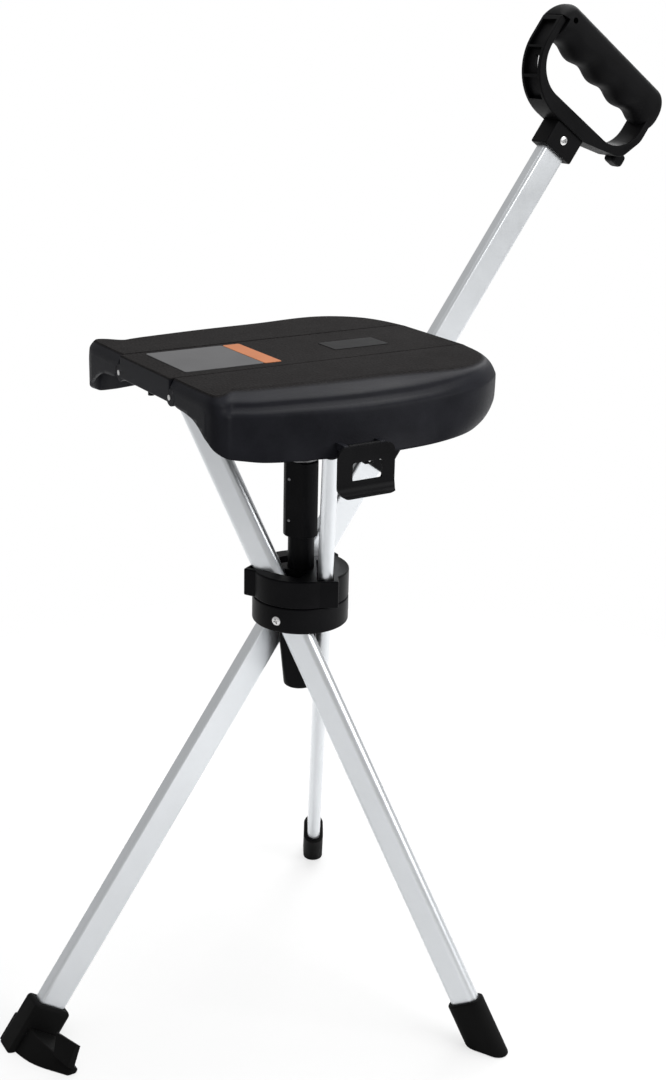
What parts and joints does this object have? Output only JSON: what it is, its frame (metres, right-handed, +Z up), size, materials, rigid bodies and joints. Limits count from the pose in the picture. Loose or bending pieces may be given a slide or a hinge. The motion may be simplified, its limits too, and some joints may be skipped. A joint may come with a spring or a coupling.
{
  "type": "walking stick seat",
  "caption": "Folding walking stick seat: crossed tubes in a round hub carry a winged plastic seat, and the long tube ends in a D handle and folds up to a stick.",
  "frame": {"origin": "middle of the bounding box on the floor, with the stick opened as a seat", "axes": "+Z up, -X to the front of the seat, +X to the handle, -Y to the flap with the latch"},
  "size_m": [0.5514, 0.3224, 0.7188],
  "materials": {
    "tube": "satin anodised",
    "plastic": "moulded, satin",
    "seat_plastic": "moulded, fine grain",
    "rubber": "matte",
    "steel": "bright"
  },
  "bodies": {
    "hub": {"hub_lower_ring": "plastic", "hub_upper_ring": "plastic", "long_pivot_screw": "steel", "near_pivot_screw": "steel", "far_pivot_screw": "steel", "post_tube": "plastic", "post_tail": "plastic"},
    "sleeve": {"post_sleeve": "plastic", "post_washer": "steel", "post_head": "plastic"},
    "long_leg": {"long_leg_tube": "tube", "long_leg_foot": "rubber", "handle_frame": "plastic", "handle_grip": "rubber", "handle_screw": "steel"},
    "near_leg": {"near_leg_tube": "tube", "near_leg_boot": "rubber", "near_leg_cap": "plastic"},
    "far_leg": {"far_leg_tube": "tube", "far_leg_boot": "rubber", "far_leg_cap": "plastic"},
    "collar": {"seat_collar": "plastic", "collar_screw": "steel", "seat_pivot_pin": "steel"},
    "seat": {"centre_panel": "seat_plastic", "front_peg": "rubber", "near_front_hinge_pin": "steel", "near_rear_hinge_pin": "steel", "far_front_hinge_pin": "steel", "far_rear_hinge_pin": "steel"},
    "near_flap": {"near_flap": "seat_plastic", "latch_pin": "steel"},
    "far_flap": {"far_flap": "seat_plastic"},
    "latch": {"latch_plate": "seat_plastic"}
  },
  "joints": [
    {"name": "fold", "type": "hinge", "parent": "hub", "child": "long_leg", "pos_m": [-0.04494, 0.02565, 0.3003], "axis": [0, -1, 0], "range_deg": [0, 35.2]},
    {"name": "near_leg_fold", "type": "hinge", "parent": "hub", "child": "near_leg", "pos_m": [-0.05975, 0, 0.3003], "axis": [0.866, 0.5, 0], "range_deg": [0, 29.35]},
    {"name": "far_leg_fold", "type": "hinge", "parent": "hub", "child": "far_leg", "pos_m": [-0.03013, 0, 0.3003], "axis": [-0.866, 0.5, 0], "range_deg": [0, 29.35]},
    {"name": "sleeve_drop", "type": "slide", "parent": "hub", "child": "sleeve", "axis": [0, 0, -1], "range_m": [0, 0.02]},
    {"name": "collar_slide", "type": "slide", "parent": "long_leg", "child": "collar", "axis": [0.5764, 0, 0.8171], "range_m": [0, 0.1]},
    {"name": "seat_fold", "type": "hinge", "parent": "collar", "child": "seat", "pos_m": [0.04907, 0.02565, 0.47], "axis": [0, -1, 0], "range_deg": [0, 54.8]},
    {"name": "near_flap_fold", "type": "hinge", "parent": "seat", "child": "near_flap", "pos_m": [-0.04494, -0.02985, 0.4777], "axis": [1, 0, 0], "range_deg": [0, 90]},
    {"name": "far_flap_fold", "type": "hinge", "parent": "seat", "child": "far_flap", "pos_m": [-0.04494, 0.04695, 0.4777], "axis": [-1, 0, 0], "range_deg": [0, 90]},
    {"name": "latch_swing", "type": "hinge", "parent": "near_flap", "child": "latch", "pos_m": [-0.04494, -0.11775, 0.4563], "axis": [-1, 0, 0], "range_deg": [0, 70]}
  ],
  "couplings": [
    {"joint": "near_leg_fold", "follows": "fold", "ratio": 0.83381},
    {"joint": "far_leg_fold", "follows": "fold", "ratio": 0.83381},
    {"joint": "sleeve_drop", "follows": "fold", "m_per_rad": 0.032554},
    {"joint": "collar_slide", "follows": "fold", "m_per_rad": 0.16277},
    {"joint": "seat_fold", "follows": "fold", "ratio": 1.5568},
    {"joint": "near_flap_fold", "follows": "fold", "ratio": 2.5568},
    {"joint": "far_flap_fold", "follows": "fold", "ratio": 2.5568}
  ]
}
